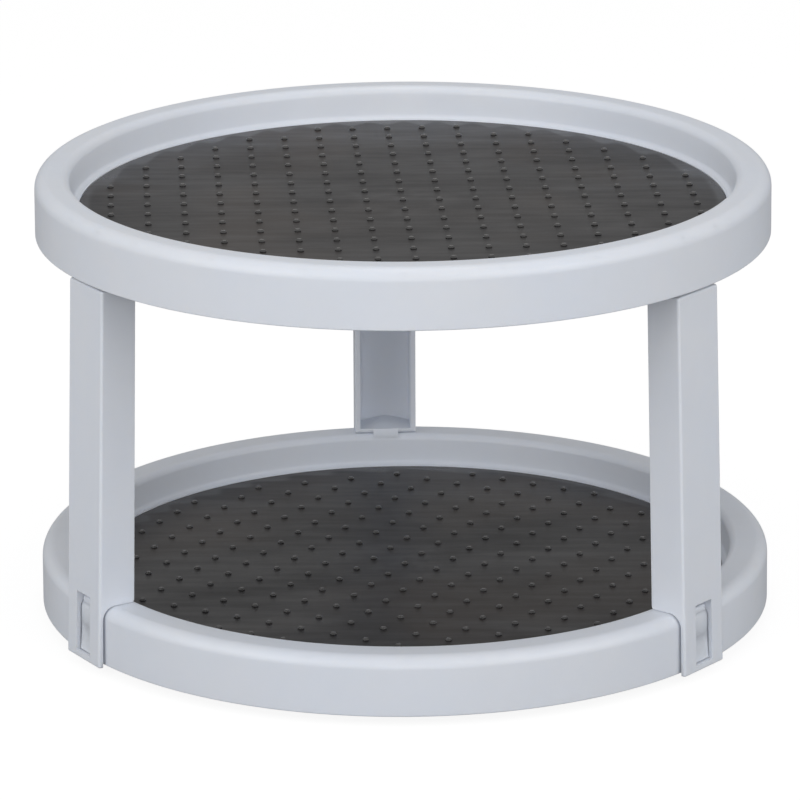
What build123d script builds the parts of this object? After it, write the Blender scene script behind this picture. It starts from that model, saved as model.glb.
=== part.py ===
from build123d import *
import os

# Lazy susan turntable: two round trays on three posts, turning on a ball race.
# Millimetres, +Z up. The origin is where the turning axis meets the floor.

# --- driving dimensions -------------------------------------------------------

LOWER_TRAY_RADIUS = 152.4  # outside of the skirt at its bottom edge
UPPER_TRAY_RADIUS = 151.8
RIM_HEIGHT = 24.75
RIM_CLEARANCE = 4.0  # floor to the lower skirt
TIER_PITCH = 158.9  # one skirt's bottom edge to the next

MAT_RADIUS = 135.4
MAT_THICKNESS = 2.5
TRAY_FLOOR_TOP = 8.0  # heights inside a tray count from its skirt's bottom edge

POST_AZIMUTHS = {"post_back": 93.4, "post_left": 212.0, "post_right": 321.3}
POST_HALF_WIDTH = 13.4
POST_OUTER_BOTTOM = 155.0  # distance of the post's outer face from the axis
POST_OUTER_TOP = 149.8
POST_INNER_BOTTOM = 138.8
POST_INNER_TOP = 134.5

BALL_RADIUS = 2.4
BALL_COUNT = 12
RACE_RADIUS = 92.0
BASE_RADIUS = 104.0
FOOT_COUNT = 6
PIVOT_RADIUS = 6.0

# --- tray ---------------------------------------------------------------------

SKIRT_THICKNESS = 2.5
SKIRT_DRAFT = 0.2
RIM_OUTER_ROUND = 5.4
RIM_INNER_ROUND = 3.0
WELL_TOP_RADIUS = 136.5  # inner wall of the rim
WELL_FOOT_RADIUS = 136.3
WELL_COVE = 0.5
MAT_RECESS_RADIUS = 135.7
MAT_LEDGE = 10.55  # top of the step that the mat lies against
FLOOR_UNDERSIDE = 5.4
WALL = 2.4
WELL_BACK_RADIUS = 138.9
RIB_FOOT = 3.0
RIB_THICKNESS = 1.6
RIB_COUNT = 12
STIFFENER_COUNT = 24
STIFFENER_FOOT = 2.0
POST_SECTOR = 7.0  # degrees each side of a post that stay free of stiffeners
BITE = 0.5  # how far one moulded feature runs into the next
HUB_OUTER_RADIUS = 14.0
HUB_FOOT = 1.0

# --- post ---------------------------------------------------------------------

POST_FOOT = -0.8  # heights along a post count from the lower skirt's bottom edge
POST_TOP = 157.4
POST_WALL = 2.2
POST_CORNER = 1.1
POST_TOP_ROUND = 1.0
POST_FOOT_ROUND = 0.7
RIM_GAP = 0.15
STRIP_INNER_FOOT = 153.1  # inside of the strip that hangs outside the rim
STRIP_INNER_TOP = 152.48
SHELF_THICKNESS = 2.0
CAP_THICKNESS = 2.2
TONGUE_HALF_WIDTH = 5.5
HOOK_DEPTH = 1.8  # how far the tongue reaches down over the rim's inner rounding
HOOK_GAP = 0.05
CATCH_GAP = 0.15
WINDOW_FOOT = 1.9
WINDOW_HEAD = 27.4
WINDOW_INNER = 148.5
PLUG_HALF_WIDTH = 9.8
PLUG_INNER = 141.2
PLUG_OUTER = 147.9

# --- bearing and base, heights above the floor ---------------------------------

BASE_UNDERSIDE = 2.2
BASE_TOP = 3.8
BASE_SKID = 0.8  # lowest edge of the base's own ribs
RACE_HALF_WIDTH = 4.0
RACE_CREST = 4.7
GROOVE_RADIUS = 2.5
BALL_GAP = 0.02
BALL_CENTRE = 5.82
TRAY_RACE_FOOT = 6.9
CAGE_BOTTOM = 5.2
CAGE_TOP = 6.4
FOOT_RADIUS = 7.5
PIVOT_BORE_GAP = 0.06
SCREW_RADIUS = 1.9
WASHER_RADIUS = 9.5
WASHER_THICKNESS = 1.2
WELL_HUB_RADIUS = 11.5  # counterbore in the lower tray for the washer
WELL_HUB_FLOOR = 4.6


def outline(corners):
    """A face in the XZ plane from (radius, height, rounding) corners."""
    points = [(x, 0, z) for x, z, _ in corners]
    rounds = [rounding for _, _, rounding in corners]
    return make_face(FilletPolyline(*points, radius=rounds, close=True))


def ring(inner, outer, bottom, top):
    """A plain ring about the axis, or a disc where inner is 0."""
    disc = Pos(0, 0, (bottom + top) / 2) * Cylinder(outer, top - bottom)
    if inner <= 0:
        return disc
    return disc - Pos(0, 0, (bottom + top) / 2) * Cylinder(inner, 2 * (top - bottom))


def spoke(inner, outer, bottom, top, width, azimuth, offset=0.0):
    """A radial rib, moved sideways by offset before it is turned to its azimuth."""
    centre = Pos((inner + outer) / 2, offset, (bottom + top) / 2)
    return Rot(0, 0, azimuth) * centre * Box(outer - inner, width, top - bottom)


def groove(height):
    """The round channel that a race's balls run in."""
    return Pos(0, 0, height) * Torus(RACE_RADIUS, GROOVE_RADIUS)


# --- trays --------------------------------------------------------------------


def tray_shell(radius):
    """Moulded shell: skirt, land, inner wall, mat ledge and floor in one wall."""
    inside = radius - SKIRT_THICKNESS
    land_underside = RIM_HEIGHT - WALL
    section = outline([
        (radius, 0, 0.5),
        (radius - SKIRT_DRAFT, RIM_HEIGHT, RIM_OUTER_ROUND),
        (WELL_TOP_RADIUS, RIM_HEIGHT, RIM_INNER_ROUND),
        (WELL_FOOT_RADIUS, MAT_LEDGE, WELL_COVE),
        (MAT_RECESS_RADIUS, MAT_LEDGE, 0),
        (MAT_RECESS_RADIUS, TRAY_FLOOR_TOP, 0),
        (0, TRAY_FLOOR_TOP, 0),
        (0, FLOOR_UNDERSIDE, 0),
        (WELL_BACK_RADIUS, FLOOR_UNDERSIDE, 0.6),
        (WELL_BACK_RADIUS + 0.1, land_underside, 1.0),
        (inside - SKIRT_DRAFT, land_underside, 1.0),
        (inside, 0, 0.4),
    ])
    return revolve(section, Axis.Z)


def floor_ribs():
    """Radial ribs under the floor, broken where the race ring runs."""
    race_inner = RACE_RADIUS - RACE_HALF_WIDTH
    race_outer = RACE_RADIUS + RACE_HALF_WIDTH
    spans = ((HUB_OUTER_RADIUS - BITE, race_inner + BITE), (race_outer - BITE, WELL_BACK_RADIUS - 1))
    ribs = []
    for index in range(RIB_COUNT):
        azimuth = 360 / RIB_COUNT * (index + 0.5)
        for inner, outer in spans:
            ribs.append(
                spoke(inner, outer, RIB_FOOT, FLOOR_UNDERSIDE + BITE, RIB_THICKNESS, azimuth)
            )
    return ribs


def rim_stiffeners(radius):
    """Webs across the hollow rim, left out where the posts are fixed."""
    webs = []
    for index in range(STIFFENER_COUNT):
        azimuth = 360 / STIFFENER_COUNT * index
        turns = [abs((azimuth - post + 180) % 360 - 180) for post in POST_AZIMUTHS.values()]
        if min(turns) < POST_SECTOR:
            continue
        webs.append(
            spoke(WELL_BACK_RADIUS - BITE, radius - SKIRT_THICKNESS + BITE,
                  STIFFENER_FOOT, RIM_HEIGHT - WALL + BITE, RIB_THICKNESS, azimuth)
        )
    return webs


def plain_tray(radius):
    """What both trays share, standing on the skirt's bottom edge at height 0."""
    race = ring(RACE_RADIUS - RACE_HALF_WIDTH, RACE_RADIUS + RACE_HALF_WIDTH,
                TRAY_RACE_FOOT - RIM_CLEARANCE, FLOOR_UNDERSIDE + BITE)
    hub = ring(0, HUB_OUTER_RADIUS, HUB_FOOT, FLOOR_UNDERSIDE + BITE)
    return tray_shell(radius) + [race, hub] + floor_ribs() + rim_stiffeners(radius)


def catch():
    """Sloping snap catch on the lower skirt, behind a post's window."""
    inner = WINDOW_INNER + CATCH_GAP
    side = outline([
        (inner, WINDOW_FOOT + CATCH_GAP, 0),
        (153.2, WINDOW_FOOT + CATCH_GAP, 0.3),
        (151.2, RIM_HEIGHT, 1.0),
        (inner, RIM_HEIGHT, 0),
    ])
    inside = ring(0, LOWER_TRAY_RADIUS - SKIRT_THICKNESS / 2, 0, RIM_HEIGHT - WALL)
    return extrude(side, TONGUE_HALF_WIDTH - 2 * CATCH_GAP, both=True) - inside


def lower_tray():
    """Tray with the upper ball race, the pivot's hub and the posts' catches."""
    tray = plain_tray(LOWER_TRAY_RADIUS)
    tray += [Rot(0, 0, azimuth) * catch() for azimuth in POST_AZIMUTHS.values()]
    crown = BALL_CENTRE + BALL_RADIUS + BALL_GAP
    tray -= groove(crown - GROOVE_RADIUS - RIM_CLEARANCE)
    tray -= ring(0, WELL_HUB_RADIUS, WELL_HUB_FLOOR, TRAY_FLOOR_TOP + 1)
    tray -= ring(0, PIVOT_RADIUS + PIVOT_BORE_GAP, 0, WELL_HUB_FLOOR + 1)
    return Pos(0, 0, RIM_CLEARANCE) * tray


def upper_tray():
    """Tray with walls in its hollow rim that hold the posts' plugs sideways."""
    tray = plain_tray(UPPER_TRAY_RADIUS)
    offset = PLUG_HALF_WIDTH + 0.15 + RIB_THICKNESS / 2
    for azimuth in POST_AZIMUTHS.values():
        for side in (-offset, offset):
            tray += spoke(WELL_BACK_RADIUS - BITE, UPPER_TRAY_RADIUS - SKIRT_THICKNESS,
                          STIFFENER_FOOT, RIM_HEIGHT - WALL + BITE, RIB_THICKNESS, azimuth, side)
    return Pos(0, 0, RIM_CLEARANCE + TIER_PITCH) * tray


def mat(tier_height):
    """Loose rubber mat, lying on a tray's floor."""
    section = outline([
        (0, TRAY_FLOOR_TOP, 0),
        (MAT_RADIUS, TRAY_FLOOR_TOP, 0.3),
        (MAT_RADIUS, TRAY_FLOOR_TOP + MAT_THICKNESS, 0.6),
        (0, TRAY_FLOOR_TOP + MAT_THICKNESS, 0),
    ])
    return Pos(0, 0, tier_height) * revolve(section, Axis.Z)


# --- posts --------------------------------------------------------------------


def post_outer(height):
    """Distance of a post's outer face from the axis, which leans inwards going up."""
    return POST_OUTER_BOTTOM + (POST_OUTER_TOP - POST_OUTER_BOTTOM) * height / POST_TOP


def post_inner(height):
    """Distance of a post's open edges from the axis."""
    return POST_INNER_BOTTOM + (POST_INNER_TOP - POST_INNER_BOTTOM) * height / POST_TOP


def post_block():
    """The post's outside form: it stands over the rim, with a strip down the skirt."""
    seat = RIM_HEIGHT + RIM_GAP
    side = outline([
        (post_outer(POST_FOOT), POST_FOOT, 0),
        (post_outer(POST_TOP), POST_TOP, 0),
        (post_inner(POST_TOP), POST_TOP, 0),
        (post_inner(seat), seat, 1.2),
        (STRIP_INNER_TOP, seat, RIM_OUTER_ROUND + RIM_GAP),
        (STRIP_INNER_FOOT, POST_FOOT, 0),
    ])
    block = extrude(side, POST_HALF_WIDTH, both=True)
    long_edges = [
        edge for edge in block.edges()
        if edge.length > POST_TOP and edge.center().X > (POST_OUTER_TOP + POST_INNER_BOTTOM) / 2
    ]
    block = fillet(long_edges, POST_CORNER)
    for height, rounding, inside in ((POST_TOP, POST_TOP_ROUND, post_inner(POST_TOP)),
                                     (POST_FOOT, POST_FOOT_ROUND, STRIP_INNER_FOOT)):
        rounded = [
            edge for edge in block.edges()
            if abs(edge.bounding_box().max.Z - height) < 0.01
            and abs(edge.bounding_box().min.Z - height) < 0.01
            and edge.center().X > inside + 0.01
        ]
        block = fillet(rounded, rounding)
    return block


def post_channel():
    """The hollow of a post, open towards the axis, from its shelf to its cap."""
    bottom = RIM_HEIGHT + RIM_GAP + SHELF_THICKNESS
    top = POST_TOP - CAP_THICKNESS
    side = outline([
        (POST_INNER_TOP - 10, bottom, 0),
        (post_outer(bottom) - POST_WALL, bottom, 0),
        (post_outer(top) - POST_WALL, top, 0),
        (POST_INNER_TOP - 10, top, 0),
    ])
    hollow = extrude(side, POST_HALF_WIDTH - POST_WALL, both=True)
    deep = [
        edge for edge in hollow.edges()
        if edge.length > top - bottom and edge.center().X > POST_INNER_BOTTOM
    ]
    return fillet(deep, 1.5)


def post_shelf_gusset():
    """Low pyramid on the shelf, with its tip against the outer wall."""
    bottom = RIM_HEIGHT + RIM_GAP + SHELF_THICKNESS
    inner = post_inner(bottom) + 0.3
    outer = post_outer(bottom) - POST_WALL + BITE
    half = POST_HALF_WIDTH - POST_WALL
    foot = Pos((inner + outer) / 2, 0, bottom - 0.2) * Rectangle(outer - inner, 2 * half)
    tip = Pos(outer - 2 * BITE, 0, bottom + 2.2) * Rectangle(BITE, BITE)
    return loft([foot, tip])


def post_tongue():
    """Pad that rests on the rim and follows its inner rounding a little way down."""
    shelf = RIM_HEIGHT + RIM_GAP + SHELF_THICKNESS
    lip = WELL_TOP_RADIUS - HOOK_GAP
    foot = RIM_HEIGHT - HOOK_DEPTH
    side = outline([
        (post_inner(shelf), shelf, 0.3),
        (145.0, shelf, 0),
        (145.0, RIM_HEIGHT, 0),
        (lip, RIM_HEIGHT, RIM_INNER_ROUND + HOOK_GAP),
        (lip, RIM_HEIGHT - 2 * RIM_INNER_ROUND, 0),
        (lip - 1.5, RIM_HEIGHT - 2 * RIM_INNER_ROUND, 0),
    ])
    tongue = extrude(side, TONGUE_HALF_WIDTH, both=True)
    return tongue - Pos(lip, 0, foot - RIM_HEIGHT / 2) * Box(20, 4 * TONGUE_HALF_WIDTH, RIM_HEIGHT)


def post_plug():
    """Hollow plug on the post's cap, which fills a socket in the upper rim."""
    bottom = POST_TOP - CAP_THICKNESS / 2
    top = TIER_PITCH + RIM_HEIGHT - WALL
    middle = (PLUG_INNER + PLUG_OUTER) / 2
    depth = PLUG_OUTER - PLUG_INNER
    block = Pos(middle, 0, (bottom + top) / 2) * Box(depth, 2 * PLUG_HALF_WIDTH, top - bottom)
    hollow = Box(depth, 2 * (PLUG_HALF_WIDTH - POST_WALL), top - POST_TOP)
    return block - Pos(middle - POST_WALL, 0, (POST_TOP + top) / 2) * hollow


def post(azimuth):
    """One of the three alike posts, turned to its place."""
    window = Pos(WINDOW_INNER, 0, (WINDOW_FOOT + WINDOW_HEAD) / 2) * Box(
        9.0, 2 * TONGUE_HALF_WIDTH, WINDOW_HEAD - WINDOW_FOOT, align=(Align.MIN, Align.CENTER, Align.CENTER)
    )
    body = post_block() - post_channel()
    body += [post_shelf_gusset(), post_tongue(), post_plug()]
    body -= window
    return Pos(0, 0, RIM_CLEARANCE) * Rot(0, 0, azimuth) * body


# --- base and bearing ----------------------------------------------------------


def foot_places():
    """Centres of the feet, one on +X and the rest evenly round the race."""
    return [
        Rot(0, 0, 360 / FOOT_COUNT * index) * Pos(RACE_RADIUS, 0, 0) for index in range(FOOT_COUNT)
    ]


def base_plate():
    """Round base with a ball race, a screwed centre post and pockets for the feet."""
    plate = ring(0, BASE_RADIUS, BASE_UNDERSIDE, BASE_TOP)
    race = ring(RACE_RADIUS - RACE_HALF_WIDTH, RACE_RADIUS + RACE_HALF_WIDTH, BASE_TOP - BITE, RACE_CREST)
    edge = ring(BASE_RADIUS - WALL, BASE_RADIUS, BASE_SKID, BASE_TOP + 1.2)
    post_top = RIM_CLEARANCE + WELL_HUB_FLOOR + 0.05
    pivot = ring(0, PIVOT_RADIUS, BASE_TOP - BITE, post_top)
    boss = ring(0, HUB_OUTER_RADIUS, BASE_SKID, BASE_UNDERSIDE + BITE)
    middle_ring = ring(52.0, 54.0, BASE_SKID, BASE_UNDERSIDE + BITE)
    features = [race, edge, pivot, boss, middle_ring]
    for index in range(FOOT_COUNT):
        azimuth = 360 / FOOT_COUNT * (index + 0.5)
        features.append(
            spoke(PIVOT_RADIUS - BITE, RACE_RADIUS - RACE_HALF_WIDTH + BITE,
                  BASE_TOP - BITE, BASE_TOP + 1.0, RIB_THICKNESS, azimuth)
        )
        features.append(
            spoke(HUB_OUTER_RADIUS - BITE, BASE_RADIUS - WALL + BITE,
                  BASE_SKID, BASE_UNDERSIDE + BITE, RIB_THICKNESS, azimuth)
        )
    pocket = ring(FOOT_RADIUS + 0.1, FOOT_RADIUS + RIB_THICKNESS, BASE_SKID, BASE_UNDERSIDE + BITE)
    pocket -= ring(0, FOOT_RADIUS + 0.1, 0, BASE_UNDERSIDE)
    features += [place * pocket for place in foot_places()]
    base = plate + features
    base -= groove(BALL_CENTRE - BALL_RADIUS - BALL_GAP + GROOVE_RADIUS)
    base -= ring(0, SCREW_RADIUS + BALL_GAP, BASE_UNDERSIDE, post_top + 1)
    return base


def foot():
    """Rubber pad with a softened tread edge."""
    section = outline([
        (0, 0, 0),
        (FOOT_RADIUS, 0, 0.6),
        (FOOT_RADIUS, BASE_UNDERSIDE, 0),
        (0, BASE_UNDERSIDE, 0),
    ])
    return revolve(section, Axis.Z)


def ball_places():
    """Centres of the balls, evenly spaced round the race."""
    turn = 360 / BALL_COUNT
    return [
        Rot(0, 0, turn * (index + 0.5)) * Pos(RACE_RADIUS, 0, BALL_CENTRE)
        for index in range(BALL_COUNT)
    ]


def ball_cage():
    """Flat ring with a round pocket for each ball."""
    cage = ring(RACE_RADIUS - 4.8, RACE_RADIUS + 4.8, CAGE_BOTTOM, CAGE_TOP)
    pocket = Cylinder(BALL_RADIUS + 0.05, 4 * BALL_RADIUS)
    return cage - [place * pocket for place in ball_places()]


def pivot_washer():
    """Wide washer that keeps the lower tray's hub down."""
    bottom = RIM_CLEARANCE + WELL_HUB_FLOOR + 0.05
    return ring(SCREW_RADIUS + BALL_GAP, WASHER_RADIUS, bottom, bottom + WASHER_THICKNESS)


def pivot_screw():
    """Pan-head screw with a cross recess, in the base's centre post."""
    seat = RIM_CLEARANCE + WELL_HUB_FLOOR + 0.05 + WASHER_THICKNESS
    head_height = 2.0
    screw = revolve(outline([
        (0, BASE_UNDERSIDE + 0.3, 0),
        (SCREW_RADIUS, BASE_UNDERSIDE + 0.3, 0.5),
        (SCREW_RADIUS, seat, 0),
        (4.0, seat, 0),
        (4.0, seat + head_height, 0.9),
        (0, seat + head_height, 0),
    ]), Axis.Z)
    for turn in (0, 90):
        screw -= Pos(0, 0, seat + head_height) * Rot(0, 0, turn) * Box(4.4, 0.9, 2.4)
    return screw


def build_nodes():
    """Every separate piece by name."""
    nodes = {
        "base_plate": base_plate(),
        "ball_cage": ball_cage(),
        "pivot_washer": pivot_washer(),
        "pivot_screw": pivot_screw(),
        "lower_tray": lower_tray(),
        "lower_mat": mat(RIM_CLEARANCE),
        "upper_tray": upper_tray(),
        "upper_mat": mat(RIM_CLEARANCE + TIER_PITCH),
    }
    for index, place in enumerate(foot_places(), start=1):
        nodes[f"foot_{index}"] = place * foot()
    for index, place in enumerate(ball_places(), start=1):
        nodes[f"ball_{index:02d}"] = place * Sphere(BALL_RADIUS)
    for name, azimuth in POST_AZIMUTHS.items():
        nodes[name] = post(azimuth)
    return nodes


os.makedirs("parts", exist_ok=True)
for node, shape in build_nodes().items():
    export_step(shape, f"parts/{node}.step")
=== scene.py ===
import logging
import math
from collections.abc import Sequence
from dataclasses import dataclass, field
from enum import Enum

import bmesh
import bpy
from mathutils import Matrix, Vector


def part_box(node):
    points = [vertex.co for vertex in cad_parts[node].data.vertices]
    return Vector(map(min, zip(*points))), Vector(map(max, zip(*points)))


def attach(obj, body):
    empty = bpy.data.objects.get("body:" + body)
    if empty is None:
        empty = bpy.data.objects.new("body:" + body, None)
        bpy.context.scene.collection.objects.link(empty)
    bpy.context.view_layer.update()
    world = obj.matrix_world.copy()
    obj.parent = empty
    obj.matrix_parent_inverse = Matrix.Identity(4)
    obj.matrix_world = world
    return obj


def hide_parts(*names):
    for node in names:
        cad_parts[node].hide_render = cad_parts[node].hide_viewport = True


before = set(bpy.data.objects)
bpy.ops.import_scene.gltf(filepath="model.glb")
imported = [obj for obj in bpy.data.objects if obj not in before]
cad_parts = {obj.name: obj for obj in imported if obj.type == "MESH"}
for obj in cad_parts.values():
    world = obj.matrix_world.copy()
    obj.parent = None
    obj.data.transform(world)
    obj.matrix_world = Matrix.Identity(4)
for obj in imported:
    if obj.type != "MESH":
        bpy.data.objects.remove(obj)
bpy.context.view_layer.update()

LOG = logging.getLogger("lazy_susan")

MM = 0.001
Corner = tuple[float, float, float]
Colour = tuple[float, float, float, float]
TURNTABLE = "turntable"  # body that every piece made here rides on
SPIN_STEPS = 192
ROUND_STEP = 10.0  # degrees of turn that one segment of a rounding takes
WELD = 1e-6
SMOOTH_LIMIT = 32.0  # degrees between faces above which an edge is shaded sharp
RIB_TAPER = 0.7  # width of a rib's lower edge as a share of its upper edge's


class Slot(Enum):
    """The record's material slots, whose names most finishes take."""

    WHITE = "white_plastic"
    BASE = "base_plastic"
    CAGE = "cage_plastic"
    MAT = "mat_rubber"
    FOOT = "foot_rubber"
    BALL = "bearing_steel"
    ZINC = "zinc_steel"


class Tier(Enum):
    """The two tiers of the turntable."""

    LOWER = "lower"
    UPPER = "upper"


class Streak(Enum):
    """Ways that a surface's marks run."""

    CLOUDED = (1.0, 1.0, 1.0)
    ALONG_X = (0.16, 1.0, 1.0)


# --- places read from the frame -------------------------------------------------


def tray_radius(node: str) -> float:
    """Outer radius of a tray in millimetres, from the frame.

    Args:
        node: Name of the tray's CAD node.

    Returns:
        Half the node's width along X, where nothing stands out of the skirt.
    """
    low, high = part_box(node)
    return (high.x - low.x) / 2 / MM


def node_foot(node: str) -> float:
    """Height of a CAD node's lowest point, in millimetres."""
    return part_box(node)[0].z / MM


def node_azimuth(node: str) -> float:
    """Direction of a CAD node from the turning axis, in degrees.

    Args:
        node: Name of a CAD node that is alike on both sides of its middle plane.

    Returns:
        Angle from +X, counted counterclockwise from above.
    """
    places = [vertex.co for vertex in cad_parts[node].data.vertices]
    middle = sum(places, Vector()) / len(places)
    return math.degrees(math.atan2(middle.y, middle.x))


# --- mesh work --------------------------------------------------------------------


def rounding_reach(corner: Vector, before: Vector, after: Vector, rounding: float) -> tuple[float, int]:
    """How far a rounded corner reaches along its two sides.

    Args:
        corner: The corner's place.
        before: The corner that comes before it.
        after: The corner that comes after it.
        rounding: Radius of the rounding.

    Returns:
        Distance along each side, and the number of segments that the turn takes.
    """
    half = (before - corner).angle(after - corner) / 2
    turn = math.degrees(math.pi - 2 * half)
    return rounding / math.tan(half), max(2, math.ceil(turn / ROUND_STEP))


def outline(bm: bmesh.types.BMesh, corners: Sequence[Corner]) -> bmesh.types.BMFace:
    """Draws a closed outline in the XZ plane and rounds its corners.

    Args:
        bm: Mesh that takes the outline.
        corners: (radius, height, rounding) of each corner, in millimetres.

    Returns:
        The flat face inside the outline.
    """
    places = [Vector((radius * MM, 0.0, height * MM)) for radius, height, _ in corners]
    verts = [bm.verts.new(place) for place in places]
    bm.faces.new(verts)
    for index, (_, _, rounding) in enumerate(corners):
        if rounding <= 0:
            continue
        before, after = places[index - 1], places[(index + 1) % len(places)]
        reach, segments = rounding_reach(places[index], before, after, rounding * MM)
        bmesh.ops.bevel(
            bm, geom=[verts[index]], offset=reach, offset_type="OFFSET", affect="VERTICES",
            segments=segments, profile=0.5, material=-1, clamp_overlap=False,
        )
    return next(iter(bm.faces))


def close_up(bm: bmesh.types.BMesh) -> None:
    """Welds seams and poles, then turns every face outwards."""
    bmesh.ops.remove_doubles(bm, verts=bm.verts, dist=WELD)
    bmesh.ops.dissolve_degenerate(bm, edges=bm.edges, dist=WELD)
    bmesh.ops.recalc_face_normals(bm, faces=bm.faces)


def turned(corners: Sequence[Corner]) -> bmesh.types.BMesh:
    """Turns an outline about the Z axis, as on a lathe.

    Args:
        corners: (radius, height, rounding) of each corner, in millimetres.

    Returns:
        A closed mesh.
    """
    bm = bmesh.new()
    outline(bm, corners)
    bmesh.ops.delete(bm, geom=bm.faces[:], context="FACES_ONLY")
    on_axis = [edge for edge in bm.edges if all(abs(vert.co.x) < WELD for vert in edge.verts)]
    bmesh.ops.delete(bm, geom=on_axis, context="EDGES")
    bmesh.ops.spin(
        bm, geom=bm.verts[:] + bm.edges[:], cent=(0, 0, 0), axis=(0, 0, 1), dvec=(0, 0, 0),
        angle=math.tau, steps=SPIN_STEPS, use_merge=True, use_duplicate=False,
    )
    close_up(bm)
    return bm


def pushed_out(corners: Sequence[Corner], half_width: float) -> bmesh.types.BMesh:
    """Pushes an outline out to both sides of the XZ plane.

    Args:
        corners: (radius, height, rounding) of each corner, in millimetres.
        half_width: Half the finished width, in millimetres.

    Returns:
        A closed mesh.
    """
    bm = bmesh.new()
    face = outline(bm, corners)
    bmesh.ops.translate(bm, verts=bm.verts, vec=(0, -half_width * MM, 0))
    pushed = bmesh.ops.extrude_face_region(bm, geom=[face], use_keep_orig=True)
    moved = [part for part in pushed["geom"] if isinstance(part, bmesh.types.BMVert)]
    bmesh.ops.translate(bm, verts=moved, vec=(0, 2 * half_width * MM, 0))
    close_up(bm)
    return bm


def rib_block(size: Vector, centre: Vector) -> bmesh.types.BMesh:
    """A box whose lower end is narrower across Y, as a moulded rib is.

    Args:
        size: Length, width and height in millimetres.
        centre: Centre in millimetres.

    Returns:
        A closed mesh.
    """
    bm = bmesh.new()
    bmesh.ops.create_cube(bm, size=1.0)
    bmesh.ops.scale(bm, verts=bm.verts, vec=size * MM)
    low = [vert for vert in bm.verts if vert.co.z < 0]
    bmesh.ops.scale(bm, verts=low, vec=(1.0, RIB_TAPER, 1.0))
    bmesh.ops.translate(bm, verts=bm.verts, vec=centre * MM)
    return bm


def add_to(whole: bmesh.types.BMesh, part: bmesh.types.BMesh, azimuth: float = 0.0) -> None:
    """Moves a part into a larger mesh, turned about the Z axis.

    Args:
        whole: Mesh that takes the part.
        part: Mesh that is used up.
        azimuth: Turn in degrees.
    """
    bmesh.ops.rotate(
        part, verts=part.verts, cent=(0, 0, 0), matrix=Matrix.Rotation(math.radians(azimuth), 3, "Z")
    )
    carrier = bpy.data.meshes.new("carrier")
    part.to_mesh(carrier)
    part.free()
    whole.from_mesh(carrier)
    bpy.data.meshes.remove(carrier)


def finish_piece(
    name: str, bm: bmesh.types.BMesh, height: float,
    materials: Sequence[bpy.types.Material], stands_for: str,
) -> bpy.types.Object:
    """Turns a mesh into a piece of the object that rides on the turntable.

    Args:
        name: The piece's name.
        bm: Its mesh, which is used up.
        height: How far the mesh is lifted, in millimetres.
        materials: Its materials in the order of the faces' indices.
        stands_for: CAD node that it takes the place of.

    Returns:
        The finished object.
    """
    bmesh.ops.translate(bm, verts=bm.verts, vec=(0, 0, height * MM))
    mesh = bpy.data.meshes.new(name)
    bm.to_mesh(mesh)
    bm.free()
    for material in materials:
        mesh.materials.append(material)
    mesh.shade_smooth()
    mesh.set_sharp_from_angle(angle=math.radians(SMOOTH_LIMIT))
    piece = bpy.data.objects.new(name, mesh)
    bpy.context.scene.collection.objects.link(piece)
    weighted = piece.modifiers.new("even_shading", "WEIGHTED_NORMAL")
    weighted.keep_sharp = True
    weighted.weight = 100
    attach(piece, TURNTABLE)
    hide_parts(stands_for)
    LOG.info("%s: %d faces in place of %s", name, len(mesh.polygons), stands_for)
    return piece


# --- shader graphs ----------------------------------------------------------------


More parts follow.
